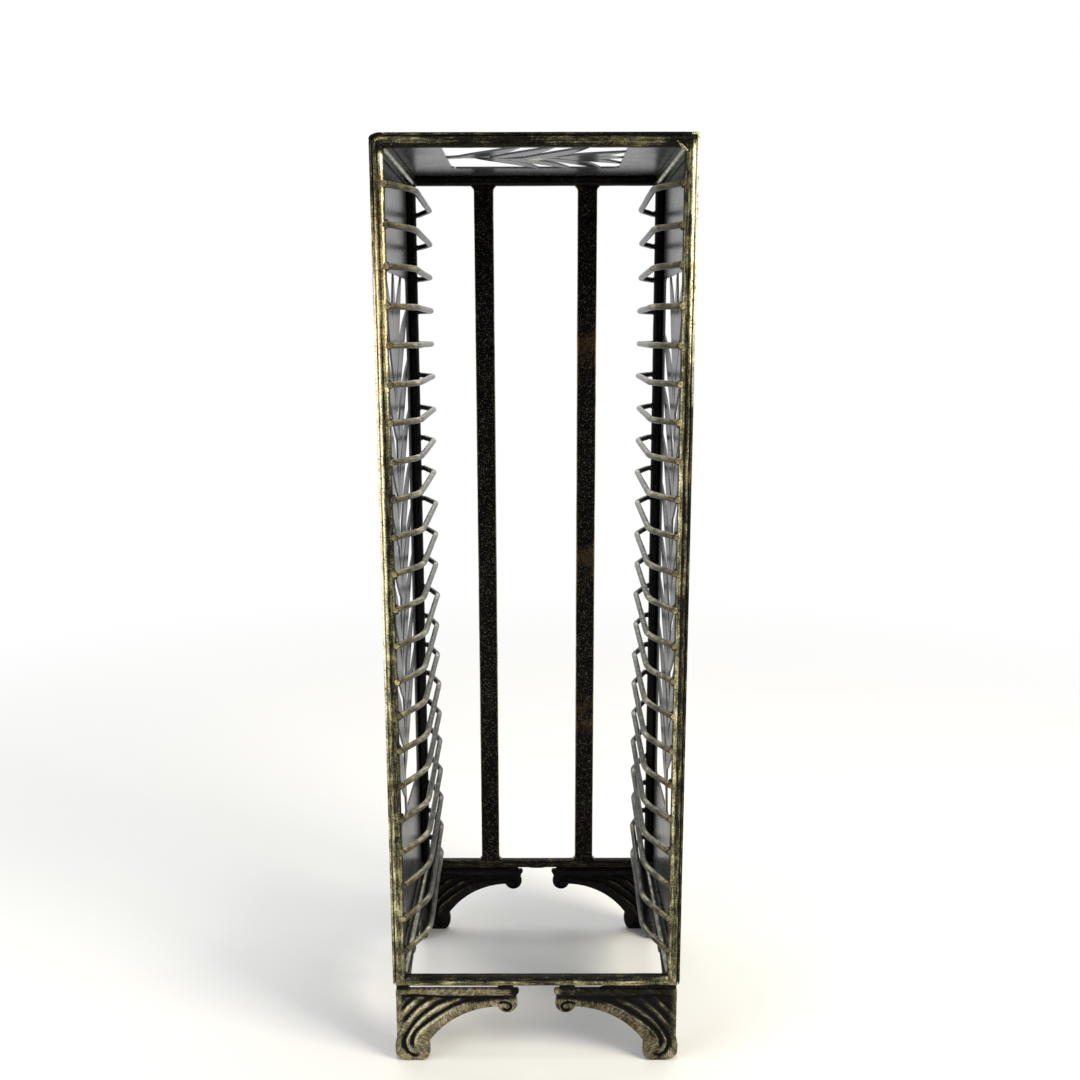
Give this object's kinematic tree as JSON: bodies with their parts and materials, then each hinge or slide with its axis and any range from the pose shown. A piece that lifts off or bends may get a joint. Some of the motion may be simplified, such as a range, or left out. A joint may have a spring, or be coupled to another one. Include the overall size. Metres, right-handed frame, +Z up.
{
  "type": "cd dvd storage tower",
  "caption": "Tall open welded metal tower on scroll corner feet, with bent rest wires up both sides that hold disc cases lying flat, and pierced sheet panels.",
  "frame": {"origin": "on the floor, under the middle of the tower", "axes": "+Z up, +X to the right as seen from the front, -Y towards the open front where the disc cases go in"},
  "size_m": [0.17, 0.1526, 0.5314],
  "materials": {
    "frame_bar": "black enamel with antique gold rubbed over its edges and faces",
    "back_strip": "black enamel with a fine speckle of gold and copper",
    "sheet_panel": "satin dark grey",
    "rest_wire": "pewter bronze, rubbed to gold near the front",
    "cast_foot": "rough casting, olive brass on the ribs over black grooves"
  },
  "bodies": {
    "root": {"front_frame": "frame_bar", "rear_frame": "frame_bar", "side_rail_bottom_left": "frame_bar", "side_rail_bottom_right": "frame_bar", "side_rail_top_left": "frame_bar", "side_rail_top_right": "frame_bar", "back_strip_left": "back_strip", "back_strip_right": "back_strip", "side_panel_left": "sheet_panel", "side_panel_right": "sheet_panel", "top_panel": "sheet_panel", "rest_wire_left_01": "rest_wire", "rest_wire_left_02": "rest_wire", "rest_wire_left_03": "rest_wire", "rest_wire_left_04": "rest_wire", "rest_wire_left_05": "rest_wire", "rest_wire_left_06": "rest_wire", "rest_wire_left_07": "rest_wire", "rest_wire_left_08": "rest_wire", "rest_wire_left_09": "rest_wire", "rest_wire_left_10": "rest_wire", "rest_wire_left_11": "rest_wire", "rest_wire_left_12": "rest_wire", "rest_wire_left_13": "rest_wire", "rest_wire_left_14": "rest_wire", "rest_wire_left_15": "rest_wire", "rest_wire_left_16": "rest_wire", "rest_wire_left_17": "rest_wire", "rest_wire_left_18": "rest_wire", "rest_wire_left_19": "rest_wire", "rest_wire_left_20": "rest_wire", "rest_wire_left_21": "rest_wire", "rest_wire_left_22": "rest_wire", "rest_wire_right_01": "rest_wire", "rest_wire_right_02": "rest_wire", "rest_wire_right_03": "rest_wire", "rest_wire_right_04": "rest_wire", "rest_wire_right_05": "rest_wire", "rest_wire_right_06": "rest_wire", "rest_wire_right_07": "rest_wire", "rest_wire_right_08": "rest_wire", "rest_wire_right_09": "rest_wire", "rest_wire_right_10": "rest_wire", "rest_wire_right_11": "rest_wire", "rest_wire_right_12": "rest_wire", "rest_wire_right_13": "rest_wire", "rest_wire_right_14": "rest_wire", "rest_wire_right_15": "rest_wire", "rest_wire_right_16": "rest_wire", "rest_wire_right_17": "rest_wire", "rest_wire_right_18": "rest_wire", "rest_wire_right_19": "rest_wire", "rest_wire_right_20": "rest_wire", "rest_wire_right_21": "rest_wire", "rest_wire_right_22": "rest_wire", "foot_front_left": "cast_foot", "foot_front_right": "cast_foot", "foot_rear_right": "cast_foot", "foot_rear_left": "cast_foot"}
  },
  "joints": []
}
